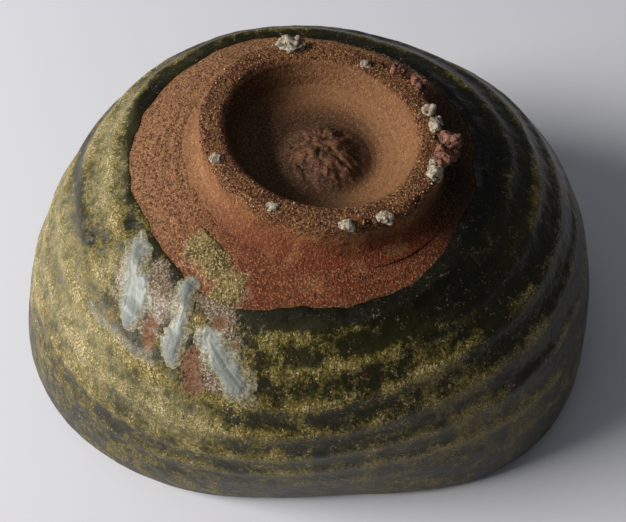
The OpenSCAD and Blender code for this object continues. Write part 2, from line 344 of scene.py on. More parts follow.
def hollow_height(r, points):
    """Height of the foot's hollow at radius r: a torn nub, the groove round it and a rise to the wall."""
    nub = NUB_H * (0.5 + 0.5 * np.cos(math.pi * np.clip(r / (NUB_R + 1.6), 0, 1))) ** 0.7
    groove = GROOVE_D * np.sin(math.pi * np.clip((r - GROOVE_R) / (HOLLOW_R - GROOVE_R), 0, 1)) ** 2
    rise = COVE_H * np.clip((r - COVE_R) / COVE_W, 0, None) ** 2.2
    torn = between(r + 0.9 * rough(points, 3.4, 14), NUB_R + 1.2, NUB_R - 1.6)
    crags = 0.7 * rough(points, 4.2, 11) + 0.85 * np.abs(rough(points, 2.3, 12))
    crags += 0.35 * rough(points, 0.9, 15)
    turned = 0.04 * np.sin(r * 4.1) * between(r, 9, 11)
    return HOLLOW_Z + nub - groove + rise + torn * (crags - 0.35) + turned + 0.05 * rough(points, 1.1, 13)


def hollow_floor(theta, share):
    """The floor inside the foot, where the nub's round shape gives way to the ring's further out."""
    r = HOLLOW_FLOOR_R * share ** 0.9
    flat = foot_placed(theta, r, 0 * r)
    at_nub = between(r, 15, 10)
    from_middle = off_axis(flat, NUB_ASIDE) * at_nub + r * (1 - at_nub)
    return flat + np.outer(hollow_height(from_middle, flat), (0, 0, 1))


def ring_seat(theta, share):
    """The hidden clay under the foot ring."""
    low, high = HOLLOW_FLOOR_R + 0.6, SEAT_R - 1.6
    return foot_placed(theta, low + (high - low) * share, SEAT_Z - 0.3 * (1 - share))


def thrown_wall(theta, alpha, edge):
    """The outside of the wall: grainy, with faint coils, where it is bare and smooth under the glaze."""
    flat = placed(theta, *outside(alpha, 0))
    grain = 0.11 * rough(flat, 0.9, 21) + 0.12 * rough(flat, 2.6, 22) + 0.22 * rough(flat, 9, 23)
    coils = 0.05 * np.sin(np.radians(alpha * 150)) * between(alpha, 52, 56)
    t = (grain + coils) * between(alpha, edge - 0.2, edge + 1.5)
    return placed(theta, *outside(alpha, t))


def body_points(theta, ring):
    """Vertices of the clay body, with alpha for those of the outside wall."""
    seat_at = HOLLOW_RINGS + 1
    bare_at = seat_at + SEAT_RINGS
    glazed_at = bare_at + BARE_RINGS
    cave_at = glazed_at + GLAZED_RINGS
    points = np.zeros((len(theta), 3))
    alpha = np.zeros(len(theta))
    edge = glaze_edge(theta)
    hollow = ring < seat_at
    points[hollow] = hollow_floor(theta[hollow], ring[hollow] / HOLLOW_RINGS)
    seat = (ring >= seat_at) & (ring < bare_at)
    points[seat] = ring_seat(theta[seat], (ring[seat] - seat_at) / (SEAT_RINGS - 1))
    bare = (ring >= bare_at) & (ring < glazed_at)
    share = (ring[bare] - bare_at) / (BARE_RINGS - 1)
    alpha[bare] = SEAT_ALPHA + (edge[bare] - UNDER_GLAZE - SEAT_ALPHA) * share
    glazed = (ring >= glazed_at) & (ring < cave_at)
    share = (ring[glazed] - glazed_at + 1) / GLAZED_RINGS
    alpha[glazed] = (edge[glazed] - UNDER_GLAZE) * (1 - share)
    wall = bare | glazed
    points[wall] = thrown_wall(theta[wall], alpha[wall], edge[wall])
    cave = ring >= cave_at
    share = (ring[cave] - cave_at + 1) / CAVE_RINGS
    points[cave] = placed(theta[cave], *inside(90 * share ** 1.2, 0))
    return points, alpha


def clay_body(material):
    rings = HOLLOW_RINGS + SEAT_RINGS + BARE_RINGS + GLAZED_RINGS + CAVE_RINGS
    bm, theta, ring = spun_ball(segments=432, rings=rings)
    points, alpha = body_points(theta, ring)
    in_hollow = (ring <= HOLLOW_RINGS).astype(float)
    levels = {
        "hollow": in_hollow,
        "nub": in_hollow * between(off_axis(points, NUB_ASIDE), NUB_R + 1.5, NUB_R - 3),
        "near_edge": np.where(alpha > 0, alpha - glaze_edge(theta), 9),
        # Painted shade on the hollow's floor, strongest in its middle.
        "hollow_floor_shade": in_hollow * between(off_axis(points), 15.5, 9),
        **fired_colour_and_shade(theta, 1 - in_hollow),
    }
    return finished(bm, "clay_body_thrown", points, material, ["clay_body"], levels)


# ---------------------------------------------------------------- foot ring

def ring_section():
    """The foot ring's section as radius and height above the seat, from the hollow's wall round."""
    h = FOOT_Z - SEAT_Z
    inner = [(HOLLOW_R - 0.4, 0), (HOLLOW_R, 1.2), (HOLLOW_R + 0.35, h - HOLLOW_D),
             (HOLLOW_R + 1.7, h - 5.4), (FACE_IN_R - 1.5, h - 3.0), (FACE_IN_R - 0.45, h - 1.0),
             (FACE_IN_R + 0.1, h - 0.28)]
    face = [(FACE_IN_R + 0.9, h - 0.02), (FOOT_R - 2.4, h), (FOOT_R - 1.0, h - 0.05)]
    outer = [(FOOT_R - 0.15, h - 0.5), (FOOT_R + 0.12, h - 1.5), (FOOT_R + 0.1, h * 0.55),
             (FOOT_R + 0.45, h * 0.3), (FOOT_BASE_R + 0.1, h * 0.14), (FOOT_BASE_R + 1.3, 0.45),
             (FOOT_BASE_R + 2.6, 0.05), (FOOT_BASE_R + 3.3, -0.35)]
    return inner + face + outer + [(FOOT_BASE_R - 3, -0.25), (HOLLOW_R + 3, -0.25)]


def spread(section, count):
    """Count points at even lengths round a closed section, with its corners eased."""
    pts = np.array(section + section[:1], float)
    lengths = np.concatenate([[0], np.cumsum(np.hypot(*np.diff(pts, axis=0).T))])
    at = np.arange(count) / count * lengths[-1]
    even = np.stack([np.interp(at, lengths, pts[:, k]) for k in (0, 1)], axis=1)
    for _ in range(2):
        even = (np.roll(even, 1, axis=0) + 2 * even + np.roll(even, -1, axis=0)) / 4
    return even


def foot_ring(material):
    rings = 132
    bm, theta, ring = spun_tube(segments=480, rings=rings)
    section = spread(ring_section(), rings)
    r, z = section[ring].T
    height = FOOT_Z - SEAT_Z
    flat = foot_placed(theta, r, z + SEAT_Z)
    face = between(z, height - 1.3, height - 0.35)
    outer = between(r, FOOT_R - 2.2, FOOT_R - 0.6) * between(z, TOE_H, 2)
    worn = 0.35 * rough(flat, 7, 31) + 0.2 * rough(flat, 2.8, 32)
    chips = np.clip(rough(flat, 3.4, 33) - 0.28, 0, 1) * 2.2 * between(z, height - 3, height - 0.6)
    grain = 0.1 * rough(flat, 0.8, 34)
    inner = 1 - between(r, FACE_IN_R - 0.5, FACE_IN_R + 0.8)
    turned = 0.03 * np.sin(z * 5.2) * inner * between(z, 2.4, 3.4)
    out = (worn + grain) * (outer + 0.5 * inner + 0.3 * face) - chips * outer + turned
    shrink = np.where(r > (FACE_IN_R + FOOT_R) / 2, 1.0, -1.0)
    z = z + (0.1 * rough(flat, 5, 35) + 0.09 * rough(flat, 0.9, 36) - 0.12 - 0.8 * chips * outer) * face
    points = foot_placed(theta, r + out * np.where(z > TOE_H, 1, 0) * shrink, z + SEAT_Z)
    sandy = np.maximum(face, outer * between(z, 4, 8))
    base = 1 - between(z, 1.0, 6.5)
    levels = {
        "sandy": sandy,
        "inner": inner * (1 - face),
        "base": base * (1 - inner),
        **fired_colour_and_shade(theta, 1),
    }
    return finished(bm, "foot_ring_turned", points, material, ["foot_ring"], levels)


# ---------------------------------------------------------------- glaze

def coat(d, wet):
    """Thickness of the outside glaze at distance d from its edge: thin there, then rolled if it ran wet."""
    feathered = GLAZE_T * (0.12 + 0.88 * (1 - np.exp(-d / 1.9)))
    return feathered + ROLL_T * wet * np.exp(-((d - 2.6) / 1.6) ** 2)


# Places on the wall as (theta, alpha), then half width and half height, in degrees
DARK_SPOTS = (((155, 48.6), 13, 3.8), ((318, 47), 26, 4))
# SHADE_SPOTS are painted shade on the side of the bowl away from the window light.
SHADE_SPOTS = (((0, 40), 52, 24), ((75, 48), 75, 14), ((305, 46.5), 30, 4))
PALE_SPOTS = (((186, 44.5), 17, 5), ((211, 41), 5, 4), ((196, 33), 22, 6), ((165, 42), 16, 6),
              ((240, 29), 16, 6), ((215, 30), 22, 9), ((180, 24), 30, 12))
IRON_SPOT = ((256, 16), 2.2, 1.2)

# Lines down the wall as a half width in mm and (theta, alpha) points
MILK_LINES = (
    (4.2, ((223, 48), (228, 46.5), (230, 44), (229, 42))),
    (3.4, ((214, 45), (217, 43))),
    (4.4, ((240, 51), (246, 49), (249, 46), (247, 42), (250, 39.5))),
)
THIN_LINES = (
    (2.2, ((230.5, 42), (232, 39))),
    (1.9, ((246, 48.2), (244.6, 45.4), (243, 41.5))),
    (2.8, ((243, 41), (245.5, 36.5))),
)
DARK_LINES = (
    (1.3, ((258, 45), (260, 40.5))),
    (2.4, ((204, 47.5), (211, 50.4), (217, 49.8), (221, 48))),
    (1.1, ((238, 50.5), (238.5, 46.5))),
    (2.4, ((160, 33), (169, 35.5), (180, 38), (191, 38.5), (202, 39.8))),
)


def strongest(theta, alpha, spots):
    return np.max([spot(theta, alpha, *s) for s in spots], axis=0)


def along(theta, alpha, lines):
    """1 on the nearest of the lines, falling to 0 at its half width."""
    shares = [np.clip(1 - off_line(theta, alpha, line) / half_w, 0, 1) for half_w, line in lines]
    return np.max(shares, axis=0)


def glaze_t(theta, alpha, edge):
    """Outside glaze over the throwing ridges: its thickness, the distance to its edge, and the crests."""
    flat = placed(theta, *outside(alpha, 0))
    d = wall_length(edge) - wall_length(alpha)
    crest = ridges(theta, alpha, flat)
    away = between(d, 0, 3)
    uneven = 0.24 * rough(flat, 11, 41) + 0.09 * rough(flat, 3.2, 42) + 0.035 * rough(flat, 1.1, 43)
    dip = 0.3 * along(theta, alpha, THIN_LINES)
    t = coat(d, round_the_bowl(POOL_DEPTH, theta)) + away * (RIDGE_H * (crest - 0.4) + uneven) - dip
    return np.clip(t, 0.12, None) * between(d, 0, 0.02) * between(alpha, 0, 3), d, crest


def crowded(share, plain=0.9, rise=0.955):
    """Crowds rings together near the glaze edge: the first share of them, plain, goes up to rise evenly."""
    last = np.clip((share - plain) / (1 - plain), 0, 1)
    eased = np.where(share < plain, share / plain * rise, rise + (1 - rise) * (1 - (1 - last) ** 1.6))
    return np.clip(eased, 0, 1)


def outer_glaze(material):
    wall_rings, back_rings = 150, 14
    rings = wall_rings + back_rings
    bm, theta, ring = spun_tube(segments=528, rings=rings)
    edge = glaze_edge(theta)
    on_wall = ring < wall_rings
    up_the_wall = crowded(ring / (wall_rings - 1))
    alpha = edge * np.where(on_wall, up_the_wall, (rings - ring) / (back_rings + 1))
    t, d, crest = glaze_t(theta, alpha, edge)
    points = placed(theta, *outside(alpha, np.where(on_wall, t, 0)))
    flat = placed(theta, *outside(alpha, 0))
    blotch = 0.5 + 0.8 * rough(flat, 13, 45) + 0.4 * rough(flat, 5, 46)
    broken = np.clip(0.75 + 1.1 * rough(flat, 6, 47), 0, 1)
    pool = round_the_bowl(POOL_W, theta)
    depth = round_the_bowl(POOL_DEPTH, theta)
    stray = 1.6 * rough(flat, 4, 48) + 0.8 * rough(flow(theta, alpha), 2.2, 49)
    pooled = depth * between(d + stray, pool * 1.3, pool * 0.3)
    drawn = np.maximum(strongest(theta, alpha, DARK_SPOTS), 0.6 * along(theta, alpha, DARK_LINES) * broken)
    # Painted shade from SHADE_SPOTS, a little lighter on the ridge crests.
    drawn = np.maximum(drawn, (0.5 - 0.26 * crest * broken) * np.sqrt(strongest(theta, alpha, SHADE_SPOTS)))
    levels = {
        "crest": crest * broken,
        "blotch": np.clip(blotch, 0, 1),
        "milk": along(theta, alpha, MILK_LINES),
        "thin": along(theta, alpha, THIN_LINES),
        # Pooled glaze, the near-black spots and lines, and the painted shade, in one level.
        "dark_glaze_and_shade": np.maximum(pooled, drawn),
        "pale": strongest(theta, alpha, PALE_SPOTS),
        "iron": spot(theta, alpha, *IRON_SPOT),
        "flow": flow(theta, alpha),
    }
    return finished(bm, "outer_glaze_coat", points, material, ["outer_glaze"], levels)


def inner_glaze(material):
    """The coat inside: a shell whose first half of rings lies on the clay and the rest faces the tea."""
    rings = 116
    bm, theta, ring = spun_ball(segments=240, rings=rings)
    half = rings // 2
    share = np.where(ring <= half, ring / half, (rings - ring) / half)
    alpha = 90 * (1 - share) ** 1.15 + 0.7 * share
    flat = placed(theta, *inside(alpha, 0))
    uneven = 0.16 * rough(flat, 12, 51) + 0.05 * rough(flat, 2.4, 52)
    t = (INNER_GLAZE_T + uneven) * between(alpha, 0.5, 5)
    points = placed(theta, *inside(alpha, np.where(ring <= half, -0.02, t)))
    wall = np.clip(alpha, 0, SEAT_ALPHA)
    levels = {
        "crest": 0.5 * ridges(theta, wall, flat),
        "blotch": np.clip(0.5 + 0.8 * rough(flat, 13, 53), 0, 1),
        "flow": flow(theta, wall),
        **{mark: 0 * alpha for mark in ("milk", "thin", "dark_glaze_and_shade", "pale", "iron")},
    }
    return finished(bm, "inner_glaze_coat", points, material, ["inner_glaze"], levels)


# ---------------------------------------------------------------- ash

def mound(name, material, node, corners, inside_at, streaked, base, thickness, seed):
    """A low mound of ash, closed underneath. inside_at is 0 at its outline and about 1 in its middle."""
    bm = bmesh.new()
    bmesh.ops.create_grid(bm, x_segments=100, y_segments=100, size=1)
    under = bmesh.ops.extrude_face_region(bm, geom=bm.faces[:] + bm.edges[:] + bm.verts[:])
    low = [v for v in under["geom"] if isinstance(v, bmesh.types.BMVert)]
    bmesh.ops.translate(bm, verts=low, vec=(0, 0, -1))
    co = np.array([v.co[:] for v in bm.verts])
    (left, bottom), (right, top) = corners
    theta = np.radians((left + right) / 2 + (right - left) / 2 * co[:, 0])
    alpha = (bottom + top) / 2 + (top - bottom) / 2 * co[:, 1]
    flat = placed(theta, *outside(alpha, 0))
    course = streaked(theta, alpha)
    streak = rough(course, 1.3, seed)
    ragged = 0.5 * rough(flat, 4.4, seed + 1) + 0.3 * rough(flow(theta, alpha), 2.2, seed + 3)
    ragged += 0.2 * rough(flat, 1.0, seed + 4)
    inside_it = inside_at(theta, alpha) + ragged
    fade = between(np.abs(co[:, :2]).max(1) + 0.1 * rough(flat, 2.5, seed + 5), 1.0, 0.82)
    rise = between(inside_it, 0.05, 0.85)
    t = thickness * rise * (0.85 + 0.17 * streak + 0.1 * rough(flat, 1.2, seed + 2)) + 0.04
    t = t - 0.5 * between(inside_it, 0.06, -0.1) - 0.5 * (1 - fade)
    t = np.where(co[:, 2] < -0.5, -0.8, t)
    points = placed(theta, *outside(alpha, base(theta, alpha) + t))
    levels = {"flow": course, "heart": between(inside_it, 0.1, 0.95)}
    return finished(bm, name, points, material, [node], levels)


def on_glaze(theta, alpha):
    return glaze_t(theta, alpha, glaze_edge(theta))[0]


# Each run's middle line down the wall as (theta, alpha), and its half width in mm
RUNS = {
    "left": (((212.5, 47.8), (216, 46.2), (221, 43.6), (224.5, 41)), 3.5),
    "middle": (((233, 50), (236, 47), (237.5, 43.5), (238.5, 39.8)), 2.9),
    "right": (((245.5, 44.6), (250, 42), (255, 38.8)), 3.4),
}


def ash_run(name, material, seed):
    line, half_w = RUNS[name]
    thetas, alphas = np.array(line).T
    corners = ((min(thetas) - 6, min(alphas) - 3.5), (max(thetas) + 6, max(alphas) + 3))

    def inside_at(theta, alpha):
        return 1 - off_line(theta, alpha, line) / half_w

    def streaked(theta, alpha):
        middle = np.interp(alpha, alphas[::-1], thetas[::-1])
        across = SHOULDER_R * np.radians(np.degrees(theta) % 360 - middle)
        return np.stack([across, 0 * theta, 0.12 * wall_length(alpha)], axis=-1)

    mound("ash_run_" + name + "_flow", material, "ash_run_" + name, corners, inside_at, streaked,
          on_glaze, RUN_T, seed)


def ash_patch(material):
    line, half_w = ((227, 58.2), (235, 56.8), (243, 53.6)), 5.2
    corners = ((214, 50), (254, SEAT_ALPHA - 0.3))

    def inside_at(theta, alpha):
        return 1.1 - off_line(theta, alpha, line) / half_w

    def on_clay(theta, alpha):
        return 0 * theta

    mound("ash_patch_sand", material, "ash_patch", corners, inside_at, flow,
          on_clay, PATCH_T, seed=73)


# ---------------------------------------------------------------- kiln grit

PALE_GRIT = (
    "back", "inner", "white_upper", "white_lower", "grey", "front_right", "front", "front_left", "left",
)
DARK_GRIT = ("purple", "pink", "knob", "tip", "red")
GRIT_SPREAD = Vector((1.5, 1.5, 1.08))
LOBES = 5
GRAINS = 420
CRUMBS = 13


def grit_lump(name, material, seed):
    """A crusty lump: a ball pushed in and out, in the place and size of its nugget in the frame."""
    low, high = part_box("kiln_grit_" + name)
    centre = np.array((low + high) / 2) / MM
    half = np.array((high - low) / 2) / MM
    draw = np.random.default_rng(seed)
    bm = bmesh.new()
    bmesh.ops.create_icosphere(bm, subdivisions=5, radius=1)
    for _ in range(LOBES):
        way = Vector(draw.normal(size=3)).normalized() * 0.8
        lobe = Matrix.Translation(way) @ Matrix.Scale(draw.uniform(0.35, 0.6), 4)
        bmesh.ops.create_icosphere(bm, subdivisions=4, radius=1, matrix=lobe)
    co = np.array([v.co[:] for v in bm.verts])
    lumps = 0.3 * rough(co * half, 1.7, seed) + 0.16 * rough(co * half, 0.7, seed + 1)
    pits = np.clip(rough(co * half, 0.8, seed + 2) - 0.15, 0, 1)
    reach = 0.9 + lumps - 0.45 * pits
    points = centre + co * half * np.array(GRIT_SPREAD) * reach[:, None]
    levels = {"pit": np.clip(pits * 2.2, 0, 1)}
    node = "kiln_grit_" + name
    finished(bm, node + "_crust", points, material, [node], levels)


def pebble(bm, matrix, sides):
    """Adds a pebble with these three half widths, and says how many vertices it has."""
    shape = matrix @ Matrix.Diagonal((*sides, 1))
    made = bmesh.ops.create_icosphere(bm, subdivisions=1, radius=1, matrix=shape)
    return len(made["verts"])


def ring_grains(bm, draw):
    """Grains on the ring's face, one in three of them along its outer edge. Gives each vertex's tone."""
    tones = []
    for k in range(GRAINS):
        theta = draw.uniform(0, 2 * math.pi)
        low, high = (FACE_IN_R + 0.3, FOOT_R + 0.1) if k % 3 else (FOOT_R - 0.6, FOOT_R + 0.2)
        r = draw.uniform(low, high)
        z = FOOT_Z - 0.18 - max(0.0, r - FOOT_R + 0.8) ** 2 * 1.2
        size = draw.uniform(0.12, 0.27)
        at = foot_placed(np.array([theta]), r, z)[0]
        turn = Matrix.Rotation(draw.uniform(0, 6.28), 4, Vector(draw.normal(size=3)))
        sides = size * draw.uniform(0.7, 1.25, 3)
        count = pebble(bm, Matrix.Translation(at) @ turn, sides)
        tones += [draw.uniform()] * count
    return tones


def crumbs(bm, draw, name):
    """Crumbs round a lump of grit, no higher than its nugget in the frame. Gives each vertex's tone."""
    low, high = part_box("kiln_grit_" + name)
    centre, half = (low + high) / 2 / MM, (high - low) / 2 / MM
    tones = []
    for _ in range(CRUMBS):
        way = Vector(draw.normal(size=3)).normalized()
        at = centre + Vector(k * share for k, share in zip(half, way)) * draw.uniform(0.7, 1.0)
        size = draw.uniform(0.25, 0.6)
        at.z = min(max(at.z, FOOT_Z - 0.3), high.z / MM - size * 0.8)
        count = pebble(bm, Matrix.Translation(at), size * draw.uniform(0.7, 1.2, 3))
        tone = draw.uniform(0.6, 1) if name in PALE_GRIT else draw.uniform(0, 0.5)
        tones += [tone] * count
    return tones


def sand_grains(material):
    """Loose sand fused to the foot ring, and crumbs round each lump of grit."""
    draw = np.random.default_rng(7)
    bm = bmesh.new()
    tones = ring_grains(bm, draw)
    for name in PALE_GRIT + DARK_GRIT:
        tones += crumbs(bm, draw, name)
    points = np.array([v.co[:] for v in bm.verts])
    levels = {"tone": np.array(tones)}
    finished(bm, "sand_grains_on_foot", points, material, ["foot_ring"], levels)


# ---------------------------------------------------------------- materials

class Level:
    """A number that varies over a surface. Arithmetic on it adds Math nodes."""

    def __init__(self, paint, socket):
        self.paint = paint
        self.socket = socket

    def _math(self, operation, a, b):
        node = self.paint.node("ShaderNodeMath", {"operation": operation}, {0: a, 1: b})
        return Level(self.paint, node.outputs[0])

    def __add__(self, other):
        return self._math("ADD", self, other)

    def __sub__(self, other):
        return self._math("SUBTRACT", self, other)

    def __mul__(self, other):
        return self._math("MULTIPLY", self, other)

    def __rsub__(self, other):
        return self._math("SUBTRACT", other, self)

    __radd__ = __add__
    __rmul__ = __mul__


class Paint:
    """One finish: a node material with a Principled shader."""

    def __init__(self, name, **fixed):
        self.material = bpy.data.materials.new(name)
        self.material.use_nodes = True
        self.tree = self.material.node_tree
        self.shader = self.tree.nodes["Principled BSDF"]
        for key, value in fixed.items():
            self.shader.inputs[key.replace("_", " ")].default_value = value

    def node(self, kind, settings=None, sockets=None):
        made = self.tree.nodes.new(kind)
        for key, value in (settings or {}).items():
            setattr(made, key, value)
        for key, value in (sockets or {}).items():
            self.feed(made.inputs[key], value)
        return made

    def feed(self, socket, value):
        if isinstance(value, Level):
            value = value.socket
        if isinstance(value, bpy.types.NodeSocket):
            self.tree.links.new(value, socket)
        elif isinstance(value, tuple) and len(value) == 3 and socket.type == "RGBA":
            socket.default_value = (*value, 1)
        else:
            socket.default_value = value

    def place(self):
        """Object coordinates, in metres."""
        return self.node("ShaderNodeTexCoord").outputs["Object"]

    def level(self, name):
        return Level(self, self.node("ShaderNodeAttribute", {"attribute_name": name}).outputs["Fac"])

    def vector(self, name):
        return self.node("ShaderNodeAttribute", {"attribute_name": name}).outputs["Vector"]

    def grain(self, at, size, detail=2, harsh=0.5, bend=0.0):
        """Noise with lumps of about that size in the units of at."""
        sockets = {"Vector": at, "Scale": 1 / size, "Detail": detail, "Roughness": harsh}
        sockets["Distortion"] = bend
        return Level(self, self.node("ShaderNodeTexNoise", None, sockets).outputs["Fac"])

    def cells(self, at, size, feature="F1"):
        node = self.node("ShaderNodeTexVoronoi", {"feature": feature}, {"Vector": at, "Scale": 1 / size})
        return Level(self, node.outputs["Distance"])

    def rise(self, value, low, high):
        """0 below low and 1 above high, smooth in between; low may be above high, and both may vary."""
        sockets = {"Value": value, "From Min": low, "From Max": high}
        node = self.node("ShaderNodeMapRange", {"interpolation_type": "SMOOTHSTEP"}, sockets)
        return Level(self, node.outputs["Result"])

    def mix(self, share, a, b):
        node = self.node("ShaderNodeMix", {"data_type": "RGBA"}, {0: share, 6: a, 7: b})
        return node.outputs[2]

    def bump(self, height, depth, under=None):
        sockets = {"Height": height, "Distance": depth, "Strength": 1.0}
        if under is not None:
            sockets["Normal"] = under
        return self.node("ShaderNodeBump", None, sockets).outputs["Normal"]

    def finish(self, **varying):
        for key, value in varying.items():
            self.feed(self.shader.inputs[key.replace("_", " ")], value)
        return self.material


def rgb(red, green, blue):
    """A colour from its display values, 0 to 255."""
    shares = [v / 255 for v in (red, green, blue)]
    return tuple(s / 12.92 if s <= 0.04045 else ((s + 0.055) / 1.055) ** 2.4 for s in shares)


def clay_colour(p, at):
    """Bare clay from the kiln: brown, mauve on one side, rust red on the next, and near black on the +X
    side beside the foot.
    """
    colour = p.mix(p.rise(p.grain(at, 0.011, 3), 0.38, 0.62), rgb(124, 80, 48), rgb(146, 100, 60))
    colour = p.mix(p.level("rosy") * 0.75, colour, rgb(140, 96, 66))
    colour = p.mix(p.level("red") * 0.85, colour, rgb(108, 40, 15))
    tan = p.rise(p.grain(at, 0.006, 2), 0.56, 0.7)
    colour = p.mix(tan * 0.35, colour, rgb(160, 116, 72))
    # Near black on the +X side beside the foot.
    return p.mix(p.level("dark_plus_x_side") * 0.9, colour, rgb(28, 22, 10))


def hollow_colour(p):
    """The clay inside the foot, with painted shade on the side of the hollow that lies in shadow."""
    return p.mix(p.level("shaded_side") * 0.8, rgb(126, 86, 54), rgb(46, 31, 18))


def body_clay_paint():
    p = Paint("body_clay", Specular_IOR_Level=0.25)
    at = p.place()
    hollow = p.level("hollow")
    sand = p.grain(at, 0.0007, 3, 0.7)
    salt = p.grain(at, 0.0004, 2, 0.6)
    torn = p.grain(at, 0.0026, 4, 0.65)
    # Painted shade: the hollow's floor is made browner and darker towards its middle.
    floor = p.mix(p.level("hollow_floor_shade"), hollow_colour(p), rgb(72, 48, 30))
    colour = p.mix(hollow, clay_colour(p, at), floor)
    nub = p.mix(p.rise(torn, 0.4, 0.58), rgb(46, 28, 20), rgb(98, 62, 40))
    colour = p.mix(p.level("nub") * 0.9, colour, nub)
    near = p.rise(p.level("near_edge"), 1.2, -0.1)
    colour = p.mix(near * 0.5, colour, rgb(84, 56, 28))
    shown = 1 - 0.65 * hollow - 0.7 * p.level("dark_plus_x_side") - 0.2 * p.level("red")
    colour = p.mix(p.rise(salt, 0.5, 0.64) * shown * 0.6, colour, rgb(198, 154, 108))
    colour = p.mix(p.rise(sand, 0.51, 0.38) * shown * 0.85, colour, rgb(58, 30, 18))
    coarse = p.bump(sand * shown, 0.0005)
    normal = p.bump(salt * shown, 0.0003, coarse)
    return p.finish(Base_Color=colour, Roughness=0.74 + 0.16 * sand, Normal=normal)


def foot_clay_paint():
    p = Paint("foot_clay", Specular_IOR_Level=0.25)
    at = p.place()
    sandy = p.level("sandy")
    blotch = p.rise(p.grain(at, 0.007, 3), 0.4, 0.6)
    sand = p.grain(at, 0.0007, 3, 0.7)
    salt = p.grain(at, 0.00042, 2, 0.6)
    colour = p.mix(blotch, rgb(120, 74, 42), rgb(148, 96, 56))
    colour = p.mix(p.level("base"), colour, clay_colour(p, at))
    # The ring's inner wall takes the hollow's colour, painted shade included.
    colour = p.mix(p.level("inner"), colour, hollow_colour(p))
    colour = p.mix(sandy * 0.8, colour, p.mix(blotch, rgb(98, 55, 28), rgb(124, 81, 47)))
    colour = p.mix(p.rise(salt, 0.52, 0.65) * (0.3 + 0.5 * sandy), colour, rgb(200, 158, 110))
    colour = p.mix(p.rise(sand, 0.53, 0.39) * (0.35 + 0.55 * sandy), colour, rgb(50, 25, 13))
    coarse = p.bump(sand * (0.5 + 0.5 * sandy), 0.0008)
    normal = p.bump(salt * (0.5 + 0.5 * sandy), 0.0004, coarse)
    return p.finish(Base_Color=colour, Roughness=0.78 + 0.14 * sand, Normal=normal)


def broken_green(p, dry, cloud, pepper):
    """The glaze itself, from blackish green where it lies thick and where painted shade is laid, to ochre
    where it is dry.
    """
    ground = p.rise(dry + 0.8 * (cloud - 0.5) + 0.5 * (pepper - 0.5), 0.02, 0.5)
    colour = p.mix(ground, rgb(36, 34, 9), rgb(110, 96, 28))
    colour = p.mix(p.rise(dry + 0.7 * (pepper - 0.5), 0.38, 0.8) * 0.85, colour, rgb(158, 136, 66))
    return p.mix(p.rise(pepper, 0.53, 0.41) * 0.65, colour, rgb(38, 34, 10))


def milky_grey(p, at, salt):
    """Speckled grey where ash melted into the glaze between the runs."""
    grey = p.mix(p.rise(p.grain(at, 0.0021, 2), 0.4, 0.6), rgb(160, 150, 128), rgb(184, 178, 160))
    return p.mix(p.rise(salt, 0.49, 0.57), rgb(112, 82, 62), grey)


def glaze_paint(name, wear=1.0):
    """Green ash glaze: darkened and glassy where it pools, ochre and sandy where it broke on the ridges,
    with painted shade on the side away from the window light.
    """
    p = Paint(name, IOR=1.45, Specular_IOR_Level=0.32, Coat_Roughness=0.1, Coat_Weight=0.08)
    at = p.place()
    dark_glaze_and_shade = p.level("dark_glaze_and_shade")
    cloud = p.grain(at, 0.009, 4, 0.6)
    patch = p.grain(at, 0.0032, 5, 0.72)
    crust = p.grain(at, 0.0014, 3, 0.7)
    pepper = p.grain(at, 0.0006, 3, 0.7)
    salt = p.grain(at, 0.00045, 2, 0.65)
    run_down = p.grain(p.vector("flow"), 1.6, 3, 0.6)
    dry = 0.46 * p.level("crest") + 0.3 * p.level("blotch") + 0.4 * p.level("pale")
    dry = dry + 1.7 * (patch - 0.5) + 0.9 * (crust - 0.5)
    # Pooled glaze and painted shade lower the dryness, so the glaze goes a darker green there.
    dry = dry + 0.5 * (run_down - 0.5) - 0.95 * dark_glaze_and_shade
    cream = p.rise(salt, 0.65 - 0.22 * dry, 0.75 - 0.22 * dry)
    ashy = p.mix(p.rise(patch, 0.4, 0.6), rgb(112, 108, 72), rgb(156, 148, 114))
    colour = p.mix(p.level("pale") * 0.5, broken_green(p, dry, cloud, pepper), ashy)
    colour = p.mix(cream * 0.8 * wear, colour, rgb(204, 184, 134))
    # Pooled glaze and painted shade both turn near black here.
    pool = p.rise(dark_glaze_and_shade + 0.6 * (patch - 0.5), 0.3, 0.95)
    colour = p.mix(pool * 0.92, colour, rgb(17, 16, 5))
    milky = p.rise(p.level("milk") + 1.2 * (patch - 0.5) + 1.6 * (pepper - 0.5), 0.12, 0.6)
    colour = p.mix(milky * 0.85, colour, milky_grey(p, at, salt))
    thin = p.rise(p.level("thin") + 1.5 * (patch - 0.5) + 1.1 * (pepper - 0.5), 0.22, 0.6)
    clay_through = p.mix(p.rise(pepper, 0.4, 0.6), rgb(104, 64, 46), rgb(134, 98, 72))
    colour = p.mix(thin * 0.85, colour, clay_through)
    colour = p.mix(p.level("iron") * 0.8, colour, rgb(60, 30, 22))
    crackle = p.rise(p.cells(at, 0.0034, "DISTANCE_TO_EDGE"), 0.035, 0.0)
    colour = p.mix(crackle * (0.12 + 0.3 * dark_glaze_and_shade), colour, rgb(20, 18, 8))
    dusty = p.rise(dry, 0.0, 0.9)
    rough_glaze = 0.42 - 0.22 * dark_glaze_and_shade + 0.12 * dusty + 0.12 * cream + 0.36 * milky + 0.3 * thin
    wavy = p.bump(p.grain(at, 0.004, 2), 0.0006)
    sandy = p.bump(cream + 0.5 * pepper + 1.2 * p.rise(crust, 0.4, 0.62) * dusty, 0.0002, wavy)
    return p.finish(Base_Color=colour, Roughness=rough_glaze, Normal=sandy)


